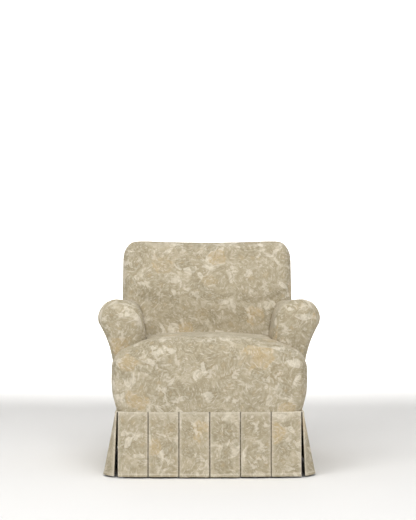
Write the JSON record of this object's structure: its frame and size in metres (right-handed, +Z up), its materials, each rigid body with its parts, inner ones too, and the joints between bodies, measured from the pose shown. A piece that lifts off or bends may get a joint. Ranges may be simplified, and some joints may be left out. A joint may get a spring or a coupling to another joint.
{
  "type": "upholstered armchair",
  "caption": "Fully upholstered armchair with a tight T-shaped seat, rolled flared arms, a raked tight back and a box-pleated skirt.",
  "frame": {"origin": "on the floor, at the middle of the chair's outline", "axes": "+Z up, -Y towards the front of the chair, +X to the right as seen from the front"},
  "size_m": [0.794, 0.85, 0.83],
  "materials": {
    "cover_fabric": "matte",
    "skirt_fabric": "matte",
    "hardwood": "matte",
    "leg_wood": "satin",
    "foam": "matte",
    "burlap": "matte",
    "black_cambric": "matte",
    "spring_steel": "satin",
    "zinc_steel": "satin",
    "strip_card": "matte",
    "glide_plastic": "satin"
  },
  "bodies": {
    "root": {"front_rail": "hardwood", "back_rail": "hardwood", "side_rail_left": "hardwood", "side_rail_right": "hardwood", "corner_blocks": "hardwood", "block_screws": "zinc_steel", "leg_front_left": "leg_wood", "leg_front_right": "leg_wood", "leg_back_left": "leg_wood", "leg_back_right": "leg_wood", "leg_bolts": "zinc_steel", "glides": "glide_plastic", "arm_post_left": "hardwood", "arm_post_right": "hardwood", "rear_arm_post_left": "hardwood", "rear_arm_post_right": "hardwood", "arm_rail_left": "hardwood", "arm_rail_right": "hardwood", "arm_tack_rail_left": "hardwood", "arm_tack_rail_right": "hardwood", "back_post_left": "hardwood", "back_post_right": "hardwood", "wing_frame_left": "hardwood", "wing_frame_right": "hardwood", "crest_rail": "hardwood", "back_tack_rail": "hardwood", "seat_springs": "spring_steel", "spring_clips": "zinc_steel", "seat_platform": "burlap", "back_webbing": "burlap", "seat_foam": "foam", "back_foam": "foam", "arm_foam_left": "foam", "arm_foam_right": "foam", "seat_cover": "cover_fabric", "back_cover": "cover_fabric", "outside_back": "cover_fabric", "arm_cover_left": "cover_fabric", "arm_cover_right": "cover_fabric", "outside_arm_left": "cover_fabric", "outside_arm_right": "cover_fabric", "skirt_front": "skirt_fabric", "skirt_left": "skirt_fabric", "skirt_right": "skirt_fabric", "skirt_back": "skirt_fabric", "tack_strips": "strip_card", "dust_cover": "black_cambric", "staples": "zinc_steel"}
  },
  "joints": []
}
